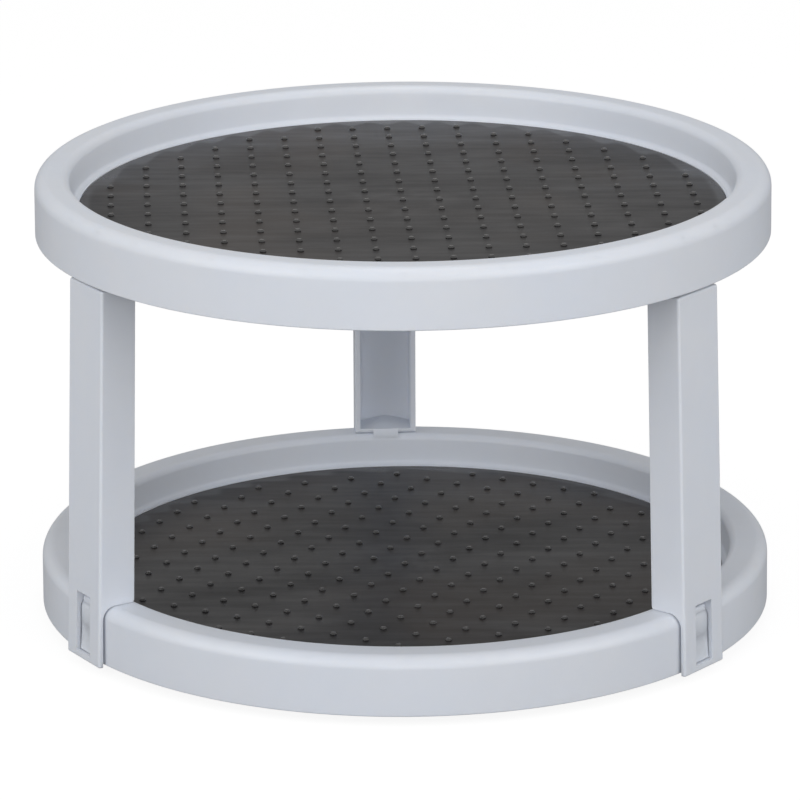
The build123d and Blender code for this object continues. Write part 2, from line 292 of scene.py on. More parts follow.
class Graph:
    """A node tree that is written one node at a time."""

    def __init__(self, tree: bpy.types.NodeTree) -> None:
        """Keeps the tree that nodes go into."""
        self.tree = tree

    def node(self, kind: str, inputs: dict | None = None, **settings: object) -> bpy.types.Node:
        """Adds a node.

        Args:
            kind: Its type without the ShaderNode prefix.
            inputs: Socket name or index to a value or to an output socket.
            **settings: The node's own properties.

        Returns:
            The new node.
        """
        made = self.tree.nodes.new(kind if kind.startswith("Node") else "ShaderNode" + kind)
        for name, value in settings.items():
            setattr(made, name, value)
        for name, value in (inputs or {}).items():
            self.feed(made.inputs[name], value)
        return made

    def feed(self, socket: bpy.types.NodeSocket, value: object) -> None:
        """Sets a socket's value, or links an output socket to it."""
        if isinstance(value, bpy.types.NodeSocket):
            self.tree.links.new(value, socket)
        else:
            socket.default_value = value

    def math(self, operation: str, *values: object, clamp: bool = False) -> bpy.types.NodeSocket:
        """Adds a Math node.

        Args:
            operation: The node's operation.
            *values: Its operands, numbers or output sockets.
            clamp: Whether the result stays from 0 to 1.

        Returns:
            The node's output.
        """
        made = self.node("Math", dict(enumerate(values)), operation=operation, use_clamp=clamp)
        return made.outputs[0]

    def remap(self, value: object, low: float, high: float) -> bpy.types.NodeSocket:
        """Maps a range onto 0 to 1 with soft ends.

        Args:
            value: Output socket to map.
            low: Value that gives 0.
            high: Value that gives 1.

        Returns:
            The mapped value.
        """
        made = self.node("MapRange", {0: value, 1: low, 2: high}, interpolation_type="SMOOTHSTEP")
        return made.outputs[0]

    def noise(self, vector: object, scale: object, detail: float = 2.0,
              roughness: float = 0.5) -> bpy.types.NodeSocket:
        """Adds a noise texture and gives its factor, from about 0 to 1."""
        made = self.node(
            "TexNoise", {"Vector": vector, "Scale": scale, "Detail": detail, "Roughness": roughness}
        )
        return made.outputs[0]

    def blend(self, share: object, first: object, second: object) -> bpy.types.NodeSocket:
        """Mixes two colours by a share."""
        made = self.node("Mix", {0: share, 6: first, 7: second}, data_type="RGBA")
        return made.outputs[2]

    def stretched(self, vector: object, stretch: tuple[float, float, float],
                  turn: float = 0.0) -> bpy.types.NodeSocket:
        """Turns a vector about Z and stretches it.

        Args:
            vector: Vector to change.
            stretch: Scale along each axis.
            turn: Turn about Z in degrees.

        Returns:
            The changed vector.
        """
        made = self.node(
            "Mapping", {"Vector": vector, "Rotation": (0, 0, math.radians(turn)), "Scale": stretch}
        )
        return made.outputs[0]

    def place(self) -> bpy.types.NodeSocket:
        """Object coordinates."""
        return self.node("TexCoord").outputs["Object"]

    def upward(self) -> bpy.types.NodeSocket:
        """How far a face looks up, from -1 to 1."""
        return self.node("SeparateXYZ", {0: self.node("NewGeometry").outputs["Normal"]}).outputs["Z"]

    def relief(self, shader: bpy.types.Node, height: object, strength: float) -> None:
        """Lays a height in metres over the surface that a shader draws."""
        bump = self.node("Bump", {"Height": height, "Distance": 1.0, "Strength": strength})
        self.feed(shader.inputs["Normal"], bump.outputs[0])

    def axis_distance(self, place: object) -> bpy.types.NodeSocket:
        """Distance of a place from the Z axis."""
        flat = self.node("VectorMath", {0: place, 1: (1.0, 1.0, 0.0)}, operation="MULTIPLY").outputs[0]
        return self.node("VectorMath", {0: flat}, operation="LENGTH").outputs["Value"]


def new_group(name: str, inputs: dict[str, float], outputs: Sequence[str]) -> tuple[Graph, dict, dict]:
    """Starts a shader node group of plain number sockets.

    Args:
        name: The group's name.
        inputs: Input names to their usual values.
        outputs: Names of the outputs.

    Returns:
        The graph, its input sockets by name and its output sockets by name.
    """
    tree = bpy.data.node_groups.new(name, "ShaderNodeTree")
    for label, usual in inputs.items():
        socket = tree.interface.new_socket(label, in_out="INPUT", socket_type="NodeSocketFloat")
        socket.default_value = usual
    for label in outputs:
        tree.interface.new_socket(label, in_out="OUTPUT", socket_type="NodeSocketFloat")
    graph = Graph(tree)
    entry = graph.node("NodeGroupInput")
    leave = graph.node("NodeGroupOutput")
    return graph, {s.name: s for s in entry.outputs if s.name}, {s.name: s for s in leave.inputs if s.name}


class Effects:
    """Effects that several finishes share, each a node group made once."""

    def __init__(self) -> None:
        """Makes every group."""
        self.grain = self.make_grain()
        self.rub = self.make_rub()
        self.dust = self.make_dust()
        self.scuff = self.make_scuff()

    @staticmethod
    def make_grain() -> bpy.types.NodeTree:
        """Satin mould grain: pits a fifth of a millimetre wide on a faint orange peel.

        Returns:
            A group with a Height in metres, and a Tone and Flow from 0 to 1.
        """
        graph, given, out = new_group(
            "mould_grain", {"Pit Depth": 0.00001, "Peel Depth": 0.00003}, ("Height", "Tone", "Flow")
        )
        place = graph.place()
        pits = graph.noise(place, 4200.0, 2.0, 0.6)
        peel = graph.noise(place, 340.0, 2.0)
        flow = graph.noise(graph.stretched(place, (1.0, 1.0, 0.5)), 16.0, 3.0, 0.55)
        cloud = graph.noise(place, 55.0, 4.0, 0.6)
        deep = graph.math("MULTIPLY", pits, given["Pit Depth"])
        broad = graph.math("MULTIPLY", peel, given["Peel Depth"])
        graph.feed(out["Height"], graph.math("ADD", deep, broad))
        graph.feed(out["Tone"], graph.remap(cloud, 0.30, 0.70))
        graph.feed(out["Flow"], graph.remap(flow, 0.32, 0.68))
        return graph.tree

    @staticmethod
    def make_rub() -> bpy.types.NodeTree:
        """Edges that hands and jars have rubbed smooth, in patches.

        Returns:
            A group whose Mask is 1 on a rubbed edge.
        """
        graph, given, out = new_group("rubbed_edges", {"Width": 0.0008, "Patch Scale": 60.0}, ("Mask",))
        place = graph.place()
        soft = graph.node("Bevel", {"Radius": given["Width"]}, samples=4)
        true = graph.node("NewGeometry").outputs["Normal"]
        facing = graph.node("VectorMath", {0: soft.outputs[0], 1: true}, operation="DOT_PRODUCT")
        edge = graph.remap(facing.outputs["Value"], 0.995, 0.90)
        patch = graph.noise(place, given["Patch Scale"], 3.0)
        graph.feed(out["Mask"], graph.math("MULTIPLY", edge, graph.remap(patch, 0.35, 0.62)))
        return graph.tree

    @staticmethod
    def make_dust() -> bpy.types.NodeTree:
        """Fine dust that settles on faces that look up.

        Returns:
            A group whose Mask is the dust's cover.
        """
        graph, given, out = new_group("settled_dust", {"Cover": 0.3, "Patch Scale": 30.0}, ("Mask",))
        place = graph.place()
        lies = graph.remap(graph.upward(), 0.55, 0.98)
        patch = graph.noise(place, given["Patch Scale"], 4.0)
        specks = graph.remap(graph.noise(place, 2600.0, 1.0), 0.66, 0.74)
        film = graph.math("MULTIPLY", graph.remap(patch, 0.3, 0.75), 0.6)
        cover = graph.math("MULTIPLY", graph.math("ADD", film, specks), lies)
        graph.feed(out["Mask"], graph.math("MULTIPLY", cover, given["Cover"], clamp=True))
        return graph.tree

    @staticmethod
    def make_scuff() -> bpy.types.NodeTree:
        """Hairline scuffs, in patches where things have slid.

        Returns:
            A group whose Mask is 1 on a scuff.
        """
        graph, given, out = new_group("hairline_scuffs", {"Amount": 0.5, "Length Scale": 30.0}, ("Mask",))
        place = graph.place()
        bent = graph.node("TexNoise", {"Vector": place, "Scale": 9.0, "Detail": 1.0}).outputs[1]
        shaken = graph.node("VectorMath", {0: bent, "Scale": 0.02}, operation="SCALE")
        path = graph.node("VectorMath", {0: shaken.outputs[0], 1: place}, operation="ADD").outputs[0]
        lines = []
        for turn in (24.0, 71.0, 133.0):
            fine = graph.stretched(path, (1.0, 34.0, 34.0), turn)
            hair = graph.noise(fine, given["Length Scale"], 1.0)
            lines.append(graph.remap(hair, 0.69, 0.75))
        worst = graph.math("MAXIMUM", graph.math("MAXIMUM", lines[0], lines[1]), lines[2])
        patch = graph.remap(graph.noise(place, 22.0, 2.0), 0.48, 0.66)
        seen = graph.math("MULTIPLY", worst, patch)
        graph.feed(out["Mask"], graph.math("MULTIPLY", seen, given["Amount"], clamp=True))
        return graph.tree


def toned(colour: Colour, share: float) -> Colour:
    """A colour made paler or darker.

    Args:
        colour: The colour.
        share: What its three parts are multiplied by.

    Returns:
        The opaque colour.
    """
    return (share * colour[0], share * colour[1], share * colour[2], 1.0)


def start_material(name: str) -> tuple[bpy.types.Material, Graph, bpy.types.Node]:
    """Makes an empty material with its shader.

    Args:
        name: The material's name.

    Returns:
        The material, its graph and its Principled BSDF.
    """
    material = bpy.data.materials.new(name)
    material.use_nodes = True
    graph = Graph(material.node_tree)
    return material, graph, material.node_tree.nodes["Principled BSDF"]


def use_group(graph: Graph, group: bpy.types.NodeTree, **values: float) -> bpy.types.Node:
    """Places a node group with its own values.

    Args:
        graph: Graph that takes it.
        group: The group.
        **values: Input names, with _ for a space, to values.

    Returns:
        The group's node.
    """
    made = graph.node("Group", node_tree=group)
    for name, value in values.items():
        graph.feed(made.inputs[name.replace("_", " ")], value)
    return made


# --- finishes ---------------------------------------------------------------------


@dataclass(frozen=True)
class MouldedPlastic:
    """Satin injection-moulded plastic.

    Attributes:
        name: The material's name.
        colour: Main colour.
        warm: Colour of the paler, warmer flow patches.
        gloss: Roughness of a clean face.
        pit_depth: Depth of the mould grain, in metres.
        dust: Cover of settled dust.
        scuffs: Amount of hairline scuffs.
    """

    name: str
    colour: Colour
    warm: Colour
    gloss: float = 0.36
    pit_depth: float = 0.000012
    dust: float = 0.10
    scuffs: float = 0.35

    def make(self, effects: Effects) -> bpy.types.Material:
        """Makes the material from the shared effects."""
        material, graph, shader = start_material(self.name)
        grain = use_group(graph, effects.grain, Pit_Depth=self.pit_depth, Peel_Depth=0.00003)
        rub = use_group(graph, effects.rub, Width=0.0007, Patch_Scale=60.0)
        dust = use_group(graph, effects.dust, Cover=self.dust, Patch_Scale=26.0)
        scuff = use_group(graph, effects.scuff, Amount=self.scuffs, Length_Scale=26.0)
        body = graph.blend(grain.outputs["Flow"], self.colour, self.warm)
        cloud = graph.math("MULTIPLY", grain.outputs["Tone"], 0.35)
        clouded = graph.blend(cloud, body, toned(self.colour, 0.965))
        dusty = graph.blend(dust.outputs["Mask"], clouded, (0.55, 0.53, 0.50, 1.0))
        graph.feed(shader.inputs["Base Color"], dusty)
        rough = graph.math("MULTIPLY_ADD", grain.outputs["Tone"], 0.07, self.gloss)
        polished = graph.math("MULTIPLY_ADD", rub.outputs["Mask"], -0.12, rough)
        scratched = graph.math("MULTIPLY_ADD", scuff.outputs["Mask"], 0.2, polished)
        graph.feed(shader.inputs["Roughness"],
                   graph.math("MULTIPLY_ADD", dust.outputs["Mask"], 0.5, scratched, clamp=True))
        cut = graph.math("MULTIPLY_ADD", scuff.outputs["Mask"], -0.00001, grain.outputs["Height"])
        graph.relief(shader, cut, 0.6)
        shader.inputs["IOR"].default_value = 1.49
        shader.inputs["Subsurface Weight"].default_value = 0.35
        shader.inputs["Subsurface Radius"].default_value = (0.0030, 0.0027, 0.0024)
        shader.inputs["Subsurface Scale"].default_value = 1.0
        return material


@dataclass(frozen=True)
class MatRubber:
    """Dark calendered rubber sheet with drawn streaks, a moulding mark and a smoother edge band with a
    painted sheen.

    Attributes:
        name: The material's name.
        colour: Main colour.
        brown: Colour of the browner patches.
        gloss: Roughness of the flat sheet.
        turn: Turn of the bumps' rows, in degrees.
        pitch: Distance between the bumps, in metres.
        mark_radius: Radius of the round mark at the centre, in metres.
        edge_radius: Where the smoother edge band with its painted sheen starts, in metres.
    """

    name: str
    colour: Colour = (0.020, 0.0185, 0.0188, 1.0)
    brown: Colour = (0.032, 0.0255, 0.022, 1.0)
    gloss: float = 0.48
    turn: float = 0.0
    pitch: float = 0.015
    mark_radius: float = 0.012
    edge_radius: float = 0.1265

    def make(self, effects: Effects) -> bpy.types.Material:
        """Makes the material from the shared effects."""
        material, graph, shader = start_material(self.name)
        place = graph.place()
        streaks = graph.noise(graph.stretched(place, (0.12, 1.0, 1.0), 2.0), 190.0, 4.0, 0.6)
        clouds = graph.noise(graph.stretched(place, (0.5, 1.0, 1.0), 6.0), 22.0, 3.0, 0.55)
        patches = graph.noise(place, 11.0, 2.0)
        mark, crown = self.moulding_mark(graph, place)
        edge = self.polish_and_painted_sheen(graph, place)
        browned = graph.blend(graph.remap(patches, 0.46, 0.66), self.colour, self.brown)
        pale = toned(self.colour, 1.9)
        drawn = graph.blend(graph.math("MULTIPLY", graph.remap(streaks, 0.40, 0.72), 0.35), browned, pale)
        # painted sheen: the edge band is made paler, standing in for grazing light caught along the mat's
        # edge
        painted_edge_sheen = graph.blend(graph.math("MULTIPLY", edge, 0.5), drawn, pale)
        marked = graph.blend(graph.math("MULTIPLY", mark, 0.55), painted_edge_sheen, pale)
        dust = use_group(graph, effects.dust, Cover=0.05, Patch_Scale=18.0)
        dusty = graph.blend(dust.outputs["Mask"], marked, (0.30, 0.29, 0.28, 1.0))
        graph.feed(shader.inputs["Base Color"], dusty)
        cloudy = graph.math("MULTIPLY_ADD", graph.remap(clouds, 0.3, 0.7), 0.12, self.gloss - 0.05)
        streaky = graph.math("MULTIPLY_ADD", graph.remap(streaks, 0.3, 0.7), -0.07, cloudy)
        wiped = graph.math("MULTIPLY_ADD", edge, -0.13, streaky)
        graph.feed(shader.inputs["Roughness"], graph.math("MULTIPLY_ADD", mark, -0.05, wiped))
        grain = use_group(graph, effects.grain, Pit_Depth=0.000014, Peel_Depth=0.00004)
        drawn_height = graph.math("MULTIPLY_ADD", streaks, 0.00004, grain.outputs["Height"])
        height = graph.math("MULTIPLY_ADD", crown, 0.00012, drawn_height)
        graph.relief(shader, height, 0.7)
        shader.inputs["IOR"].default_value = 1.5
        return material

    def moulding_mark(self, graph: Graph, place: bpy.types.NodeSocket) -> tuple:
        """The pale round mark in the middle of the sheet.

        Args:
            graph: The material's graph.
            place: Object coordinates.

        Returns:
            A mask of the pale patch, and the height of its low crown, both from 0 to 1.
        """
        radius = graph.axis_distance(place)
        crown = graph.remap(radius, 1.25 * self.mark_radius, 0.7 * self.mark_radius)
        halo = graph.remap(radius, 3.2 * self.mark_radius, 0.8 * self.mark_radius)
        ragged = graph.remap(graph.noise(place, 75.0, 3.0), 0.38, 0.68)
        return graph.math("MULTIPLY", halo, ragged), crown

    def polish_and_painted_sheen(self, graph: Graph, place: bpy.types.NodeSocket) -> bpy.types.NodeSocket:
        """The smoother band between the last bumps and the sheet's edge, scalloped by their rows; its lower
        roughness is real and its paler colour is a painted sheen.

        Args:
            graph: The material's graph.
            place: Object coordinates.

        Returns:
            A mask from 0 to 1.
        """
        radius = graph.axis_distance(place)
        rows = graph.stretched(place, (1.0, 1.0, 1.0), -self.turn)
        across = graph.node("SeparateXYZ", {0: rows}).outputs["X"]
        wave = graph.math("COSINE", graph.math("MULTIPLY", across, math.tau / self.pitch))
        reach = graph.math("MULTIPLY_ADD", wave, 0.0024, radius)
        return graph.remap(reach, self.edge_radius - 0.001, self.edge_radius + 0.003)


@dataclass(frozen=True)
class BumpRubber:
    """The bumps' smoother rubber, with a painted highlight that makes the crowns paler.

    Attributes:
        name: The material's name.
        colour: Main colour.
        painted_crown_highlight: Colour of the painted highlight on the crowns.
        gloss: Roughness.
    """

    name: str
    colour: Colour = (0.014, 0.0134, 0.0138, 1.0)
    painted_crown_highlight: Colour = (0.14, 0.137, 0.134, 1.0)
    gloss: float = 0.14

    def make(self, effects: Effects) -> bpy.types.Material:
        """Makes the material from the shared effects."""
        material, graph, shader = start_material(self.name)
        place = graph.place()
        worn = graph.remap(graph.noise(place, 45.0, 3.0), 0.3, 0.7)
        # painted highlight: faces that look up are made paler, standing in for the overhead softbox's
        # reflection on each bump
        crown = graph.math("MULTIPLY", graph.remap(graph.upward(), 0.52, 0.80), 0.85)
        side = graph.blend(worn, self.colour, toned(self.colour, 1.8))
        graph.feed(shader.inputs["Base Color"], graph.blend(crown, side, self.painted_crown_highlight))
        graph.feed(shader.inputs["Roughness"], graph.math("MULTIPLY_ADD", worn, 0.12, self.gloss))
        grain = use_group(graph, effects.grain, Pit_Depth=0.000008, Peel_Depth=0.00001)
        graph.relief(shader, grain.outputs["Height"], 0.5)
        return material


@dataclass(frozen=True)
class FootRubber:
    """Matt grey rubber of the feet, with dirt from the shelf.

    Attributes:
        name: The material's name.
        colour: Main colour.
        dirt: Colour of the dirt.
    """

    name: str
    colour: Colour = (0.030, 0.030, 0.031, 1.0)
    dirt: Colour = (0.12, 0.11, 0.10, 1.0)

    def make(self, effects: Effects) -> bpy.types.Material:
        """Makes the material from the shared effects."""
        material, graph, shader = start_material(self.name)
        grain = use_group(graph, effects.grain, Pit_Depth=0.00003, Peel_Depth=0.00004)
        soiled = graph.math("MULTIPLY", grain.outputs["Tone"], 0.4)
        graph.feed(shader.inputs["Base Color"], graph.blend(soiled, self.colour, self.dirt))
        graph.feed(shader.inputs["Roughness"], graph.math("MULTIPLY_ADD", grain.outputs["Flow"], 0.15, 0.7))
        graph.relief(shader, grain.outputs["Height"], 0.9)
        return material


@dataclass(frozen=True)
class PlatedSteel:
    """Steel with a bright or a brushed face.

    Attributes:
        name: The material's name.
        colour: Colour of the bare metal.
        film: Colour where oil or plating clouds it.
        gloss: Roughness of a clean face.
        streak: How its marks run.
    """

    name: str
    colour: Colour
    film: Colour
    gloss: float
    streak: Streak

    def make(self, effects: Effects) -> bpy.types.Material:
        """Makes the material from the shared effects."""
        material, graph, shader = start_material(self.name)
        place = graph.place()
        marks = graph.noise(graph.stretched(place, self.streak.value), 900.0, 3.0, 0.6)
        clouds = graph.remap(graph.noise(place, 160.0, 3.0), 0.35, 0.7)
        scuff = use_group(graph, effects.scuff, Amount=0.6, Length_Scale=160.0)
        graph.feed(shader.inputs["Base Color"], graph.blend(clouds, self.colour, self.film))
        rough = graph.math("MULTIPLY_ADD", graph.remap(marks, 0.3, 0.7), 0.12, self.gloss)
        graph.feed(shader.inputs["Roughness"],
                   graph.math("MULTIPLY_ADD", scuff.outputs["Mask"], 0.25, rough, clamp=True))
        graph.relief(shader, graph.math("MULTIPLY", marks, 0.000004), 0.5)
        shader.inputs["Metallic"].default_value = 1.0
        return material


class Finishes:
    """Every finish of the turntable, made once."""

    def __init__(self) -> None:
        """Makes the shared effects and the materials."""
        effects = Effects()
        self.white = MouldedPlastic(
            Slot.WHITE.value, (0.705, 0.742, 0.812, 1.0), (0.722, 0.748, 0.800, 1.0)
        ).make(effects)
        self.base = MouldedPlastic(
            Slot.BASE.value, (0.66, 0.69, 0.72, 1.0), (0.69, 0.70, 0.72, 1.0), gloss=0.45, dust=0.3
        ).make(effects)
        self.cage = MouldedPlastic(
            Slot.CAGE.value, (0.60, 0.60, 0.57, 1.0), (0.64, 0.63, 0.58, 1.0), gloss=0.5, dust=0.1
        ).make(effects)
        self.bump = BumpRubber("bump_rubber").make(effects)
        self.foot = FootRubber(Slot.FOOT.value).make(effects)
        self.ball = PlatedSteel(
            Slot.BALL.value, (0.62, 0.63, 0.65, 1.0), (0.50, 0.48, 0.44, 1.0), 0.10, Streak.CLOUDED
        ).make(effects)
        self.zinc = PlatedSteel(
            Slot.ZINC.value, (0.55, 0.57, 0.60, 1.0), (0.48, 0.49, 0.46, 1.0), 0.30, Streak.ALONG_X
        ).make(effects)
        self.effects = effects

    def mat(self, name: str, turn: float, pitch: float) -> bpy.types.Material:
        """Makes a mat's rubber, whose edge follows that mat's rows of bumps.

        Args:
            name: The material's name.
            turn: Turn of the rows, in degrees.
            pitch: Distance between the bumps, in millimetres.

        Returns:
            The material.
        """
        return MatRubber(name, turn=turn, pitch=pitch * MM).make(self.effects)


# --- trays ------------------------------------------------------------------------


@dataclass
class Tray:
    """A round moulded tray. Lengths are in millimetres, heights from its skirt's bottom edge.

    Attributes:
        tier: Which of the two trays it is.
        posts: Directions of the posts, in degrees.
        open_well_top: Radius of the upper tray's well at its top, where no post's tongue hangs in.
        open_inner_round: Rounding of the rim's edge there.
    """

    tier: Tier
    posts: Sequence[float]
    rim_height: float = 24.75
    skirt: float = 2.5
    draft: float = 0.2
    rim_outer_round: float = 5.4
    rim_inner_round: float = 3.0
    well_top: float = 136.5
    open_well_top: float = 137.6
    open_inner_round: float = 3.8
    well_foot: float = 136.0
    well_cove: float = 2.2
    well_back: float = 138.9
    ledge: float = 10.95
    recess: float = 133.7
    floor_top: float = 8.0
    floor_underside: float = 5.4
    wall: float = 2.4
    race_middle: float = 92.0
    race_half: float = 4.0
    race_foot: float = 2.9
    groove_half: float = 2.2
    groove_peak: float = 6.9
    groove_radius: float = 2.4
    hub_radius: float = 14.0
    hub_foot: float = 1.0
    hub_well: float = 11.5
    hub_floor: float = 4.6
    bore: float = 6.06
    rib: float = 1.6
    rib_foot: float = 3.0
    rib_count: int = 12
    web_count: int = 24
    web_foot: float = 2.0
    post_sector: float = 7.0
    bite: float = 0.5
    socket_half: float = 10.75
    catch_half: float = 5.2
    catch_foot: float = 2.05
    catch_foot_reach: float = 153.2
    catch_head_reach: float = 151.2
    catch_back: float = 146.5
    radius: float = field(init=False)

    def __post_init__(self) -> None:
        """Reads the tray's radius from the frame and opens the upper tray's well."""
        self.radius = tray_radius(self.node)
        if self.tier is Tier.UPPER:
            self.well_top, self.rim_inner_round = self.open_well_top, self.open_inner_round

    @property
    def node(self) -> str:
        """Name of the CAD node that the tray stands for."""
        return f"{self.tier.value}_tray"

    def rim_side(self) -> list[Corner]:
        """Corners from the skirt's foot over the rim and down to the floor's edge."""
        return [
            (self.radius, 0.0, 0.5),
            (self.radius - self.draft, self.rim_height, self.rim_outer_round),
            (self.well_top, self.rim_height, self.rim_inner_round),
            (self.well_foot, self.ledge, self.well_cove),
            (self.recess, self.ledge, 0.2),
            (self.recess, self.floor_top, 0.3),
        ]

    def middle_side(self) -> list[Corner]:
        """Corners of the floor's middle and its hub, which is bored in the lower tray."""
        if self.tier is Tier.UPPER:
            return [(0.0, self.floor_top, 0.0), (0.0, self.hub_foot, 0.0)]
        return [
            (self.hub_well, self.floor_top, 0.3),
            (self.hub_well, self.hub_floor, 0.3),
            (self.bore, self.hub_floor, 0.2),
            (self.bore, self.hub_foot, 0.2),
        ]

    def race_side(self) -> list[Corner]:
        """Corners of the race ring, which is grooved for the balls in the lower tray."""
        inner, outer = self.race_middle - self.race_half, self.race_middle + self.race_half
        groove = [
            (self.race_middle - self.groove_half, self.race_foot, 0.0),
            (self.race_middle, self.groove_peak, self.groove_radius),
            (self.race_middle + self.groove_half, self.race_foot, 0.0),
        ]
        return [
            (inner, self.floor_underside, 0.3),
            (inner, self.race_foot, 0.3),
            *(groove if self.tier is Tier.LOWER else []),
            (outer, self.race_foot, 0.3),
            (outer, self.floor_underside, 0.3),
        ]

    def under_side(self) -> list[Corner]:
        """Corners from the hub along the underside to the skirt's inside foot."""
        inside = self.radius - self.skirt
        land = self.rim_height - self.wall
        return [
            (self.hub_radius, self.hub_foot, 0.4),
            (self.hub_radius, self.floor_underside, 0.4),
            *self.race_side(),
            (self.well_back, self.floor_underside, 0.6),
            (self.well_back + 0.1, land, 1.0),
            (inside - self.draft, land, 1.0),
            (inside, 0.0, 0.4),
        ]

    def spoke(self, inner: float, outer: float, foot: float, head: float,
              aside: float = 0.0) -> bmesh.types.BMesh:
        """A moulded web along X between two radii.

        Args:
            inner: Nearer end.
            outer: Farther end.
            foot: Height of its lower edge.
            head: Height of its upper edge.
            aside: How far it is moved along Y.

        Returns:
            The web's mesh.
        """
        size = Vector((outer - inner, self.rib, head - foot))
        centre = Vector(((inner + outer) / 2, aside, (foot + head) / 2))
        return rib_block(size, centre)

    def add_ribs(self, bm: bmesh.types.BMesh) -> None:
        """Adds the ribs under the floor, broken where the race ring runs."""
        race_inner, race_outer = self.race_middle - self.race_half, self.race_middle + self.race_half
        head = self.floor_underside + self.bite
        for index in range(self.rib_count):
            azimuth = 360 / self.rib_count * (index + 0.5)
            near = self.spoke(self.hub_radius - self.bite, race_inner + self.bite, self.rib_foot, head)
            far = self.spoke(race_outer - self.bite, self.well_back - self.bite, self.rib_foot, head)
            add_to(bm, near, azimuth)
            add_to(bm, far, azimuth)

    def add_webs(self, bm: bmesh.types.BMesh) -> None:
        """Adds the webs across the hollow rim, which stay clear of the posts."""
        outer = self.radius - self.skirt + self.bite
        head = self.rim_height - self.wall + self.bite
        for index in range(self.web_count):
            azimuth = 360 / self.web_count * index
            if min(abs((azimuth - post + 180) % 360 - 180) for post in self.posts) < self.post_sector:
                continue
            add_to(bm, self.spoke(self.well_back - self.bite, outer, self.web_foot, head), azimuth)

    def add_sockets(self, bm: bmesh.types.BMesh) -> None:
        """Adds the pair of walls that holds each post's plug."""
        outer = self.radius - self.skirt + self.bite
        head = self.rim_height - self.wall + self.bite
        for azimuth in self.posts:
            for aside in (-self.socket_half, self.socket_half):
                wall = self.spoke(self.well_back - self.bite, outer, self.web_foot, head, aside)
                add_to(bm, wall, azimuth)

    def add_catches(self, bm: bmesh.types.BMesh) -> None:
        """Adds the sloping catch that each post's window snaps over."""
        inside = self.radius - self.skirt / 2
        land = self.rim_height - self.wall + 0.2
        corners = [
            (inside, self.catch_foot, 0.0),
            (self.catch_foot_reach, self.catch_foot, 0.3),
            (self.catch_head_reach, self.rim_height, 1.0),
            (self.catch_back, self.rim_height, 0.0),
            (self.catch_back, land, 0.0),
            (inside, land, 0.0),
        ]
        for azimuth in self.posts:
            add_to(bm, pushed_out(corners, self.catch_half), azimuth)

    def build(self, finishes: Finishes) -> bpy.types.Object:
        """Builds the tray in place of its CAD node.

        Args:
            finishes: The turntable's finishes.

        Returns:
            The tray.
        """
        bm = turned(self.rim_side() + self.middle_side() + self.under_side())
        self.add_ribs(bm)
        self.add_webs(bm)
        if self.tier is Tier.UPPER:
            self.add_sockets(bm)
        else:
            self.add_catches(bm)
        return finish_piece(
            f"{self.tier.value}_tray_shell", bm, node_foot(self.node),
            [finishes.white], self.node,
        )


# --- mats -------------------------------------------------------------------------


@dataclass
class Mat:
    """A loose rubber mat with a square grid of domed bumps. Lengths are in millimetres.

    Attributes:
        tier: Tray that it lies in.
        turn: Turn of the grid, in degrees.
        pitch: Distance between neighbouring bumps of a row.
        row_pitch: Distance between neighbouring rows.
        reach: Radius that the farthest bump stays within.
        trim: How far the sheet's edge stays inside the CAD disc's.
        lift: How far its top lies above the CAD disc's.
    """

    tier: Tier
    turn: float
    pitch: float
    row_pitch: float
    reach: float = 125.5
    bump_radius: float = 1.45
    bump_height: float = 1.3
    bump_sides: int = 10
    bump_rings: int = 5
    edge_round: float = 0.7
    foot_round: float = 0.3
    trim: float = 2.0
    lift: float = 0.45

    @property
    def node(self) -> str:
        """Name of the CAD node that the mat stands for."""
        return f"{self.tier.value}_mat"

    @property
    def top(self) -> float:
        """Height of the sheet's top over its underside."""
        low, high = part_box(self.node)
        return (high.z - low.z) / MM + self.lift

    def sheet(self) -> bmesh.types.BMesh:
        """The flat sheet with its rounded edge, standing at height 0."""
        low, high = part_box(self.node)
        radius = (high.x - low.x) / 2 / MM - self.trim
        return turned([
            (0.0, 0.0, 0.0),
            (radius, 0.0, self.foot_round),
            (radius, self.top, self.edge_round),
            (0.0, self.top, 0.0),
        ])

    def bump_row(self, row: int) -> bmesh.types.BMesh:
        """One row of bumps along X, each sunk to its middle in the sheet's top.

        Args:
            row: The row's number, counted from the middle.

        Returns:
            The row's mesh, before the grid is turned.
        """
        bm = bmesh.new()
        form = Matrix.Diagonal((self.bump_radius * MM, self.bump_radius * MM, self.bump_height * MM, 1.0))
        top = self.top
        count = int(self.reach / self.pitch)
        for column in range(-count, count + 1):
            place = Vector((column * self.pitch, row * self.row_pitch, top))
            if place.xy.length > self.reach:
                continue
            bmesh.ops.create_uvsphere(
                bm, u_segments=self.bump_sides, v_segments=self.bump_rings, radius=1.0,
                matrix=Matrix.Translation(place * MM) @ form,
            )
        for face in bm.faces:
            face.material_index = 1
        return bm

    def add_bumps(self, bm: bmesh.types.BMesh) -> None:
        """Adds a square grid of bumps about the middle of the sheet."""
        count = int(self.reach / self.row_pitch)
        for row in range(-count, count + 1):
            add_to(bm, self.bump_row(row), self.turn)

    def build(self, finishes: Finishes) -> bpy.types.Object:
        """Builds the mat in place of its CAD node.

        Args:
            finishes: The turntable's finishes.

        Returns:
            The mat.
        """
        bm = self.sheet()
        self.add_bumps(bm)
        rubber = finishes.mat(f"{self.tier.value}_mat_rubber", self.turn, self.pitch)
        return finish_piece(
            f"{self.tier.value}_bumped_mat", bm, node_foot(self.node),
            [rubber, finishes.bump], self.node,
        )


# --- posts ------------------------------------------------------------------------


